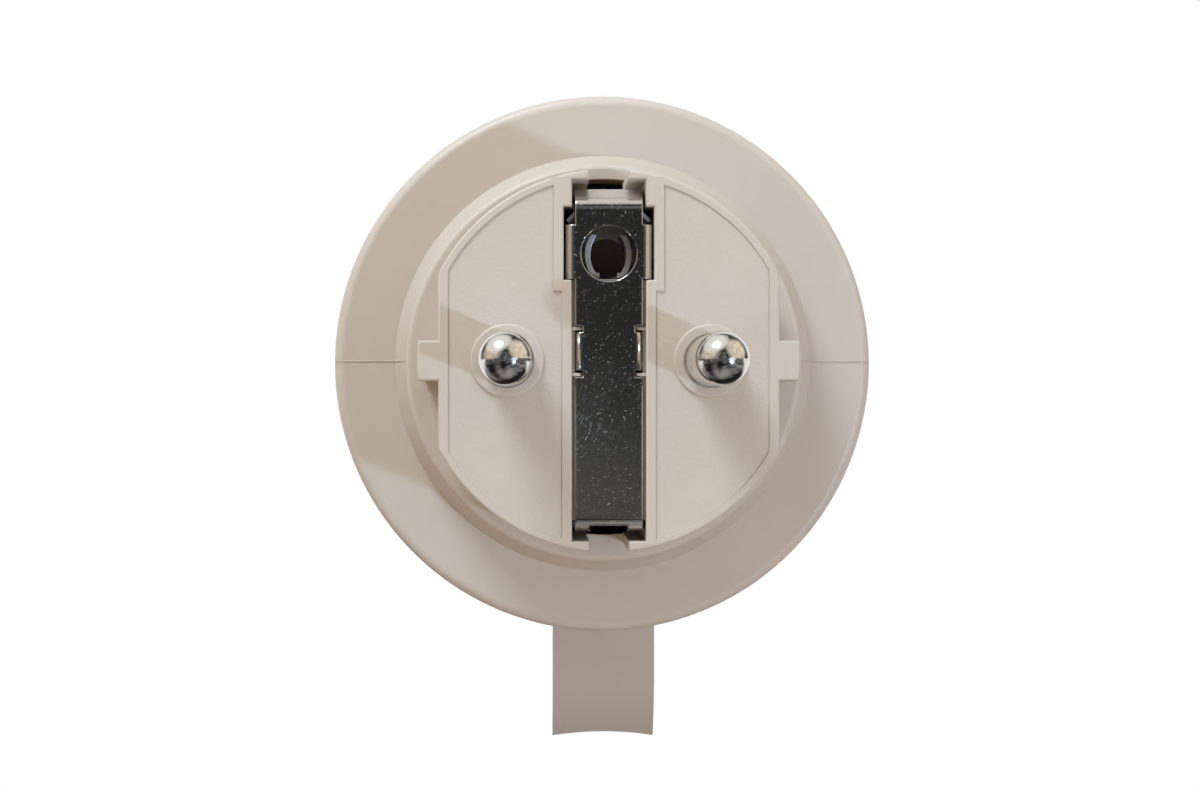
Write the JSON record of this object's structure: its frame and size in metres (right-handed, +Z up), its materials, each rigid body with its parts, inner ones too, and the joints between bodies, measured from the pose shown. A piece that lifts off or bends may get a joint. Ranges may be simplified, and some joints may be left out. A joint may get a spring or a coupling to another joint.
{
  "type": "outdoor smart plug",
  "caption": "Round outdoor smart plug with two pins and an earth strip at the back, a recessed front socket under a sprung hinged lid, and a push button on top.",
  "frame": {"origin": "on the plug's axis in the plane of the plug face", "axes": "-Y along the pins, out of the plug face; +Y towards the lid; +Z up, on the earth hole's side"},
  "size_m": [0.055, 0.0983, 0.0754],
  "materials": {
    "beige_plastic": "fine spark-eroded matt",
    "nickel": "nickel plated, polished",
    "strip_nickel": "nickel plated sheet, fine scratches",
    "brass": "plain",
    "seal_rubber": "matt silicone",
    "button_plastic": "satin",
    "light_guide_plastic": "translucent",
    "board_laminate": "solder mask",
    "black_plastic": "moulded",
    "capacitor_sleeve": "shrink sleeve",
    "film_yellow": "dipped film",
    "varistor_blue": "epoxy dipped",
    "fuse_ceramic": "glazed",
    "copper": "plain copper",
    "steel": "zinc plated",
    "lamp": "clear",
    "shutter_plastic": "moulded",
    "socket_plastic": "satin"
  },
  "bodies": {
    "housing": {"rear_housing": "beige_plastic", "plug_insert": "beige_plastic", "main_housing": "beige_plastic", "live_pin": "nickel", "neutral_pin": "nickel", "earth_strip": "strip_nickel", "earth_receptacle": "strip_nickel", "housing_seal": "seal_rubber", "button_seal": "seal_rubber", "socket_insert": "socket_plastic", "socket_floor": "socket_plastic", "contact_carrier": "black_plastic", "live_contact": "brass", "neutral_contact": "brass", "socket_earth_strap": "nickel", "shutter_spring": "steel", "lid_spring": "steel", "hinge_pin": "steel", "main_board": "board_laminate", "control_board": "board_laminate", "earth_bar": "copper", "relay": "black_plastic", "filter_capacitor": "film_yellow", "power_inductor": "black_plastic", "rectifier": "black_plastic", "metering_shunt": "copper", "varistor": "varistor_blue", "fuse": "fuse_ceramic", "bulk_capacitors": "capacitor_sleeve", "radio_module": "steel", "status_light": "lamp", "push_switch": "black_plastic", "light_guide": "light_guide_plastic", "socket_screws": "steel", "carrier_screws": "steel", "board_screws": "steel"},
    "lid": {"lid": "beige_plastic", "lid_gasket": "seal_rubber"},
    "button": {"power_button": "button_plastic"},
    "shutter": {"shutter": "shutter_plastic"}
  },
  "joints": [
    {"name": "lid_hinge", "type": "hinge", "parent": "housing", "child": "lid", "pos_m": [0, 0.07215, 0.0289], "axis": [1, 0, 0], "range_deg": [0, 110], "stiffness_Nm_per_rad": 0.04, "springref_deg": -85.94, "deforming": ["lid_spring"]},
    {"name": "button_press", "type": "slide", "parent": "housing", "child": "button", "axis": [0, 0, -1], "range_m": [0, 0.0005], "stiffness_N_per_m": 200, "springref_m": -0.004},
    {"name": "shutter_turn", "type": "hinge", "parent": "housing", "child": "shutter", "pos_m": [0, 0.05115, 0], "axis": [0, 1, 0], "range_deg": [0, 40], "stiffness_Nm_per_rad": 0.001, "springref_deg": -28.65, "deforming": ["shutter_spring"]}
  ]
}
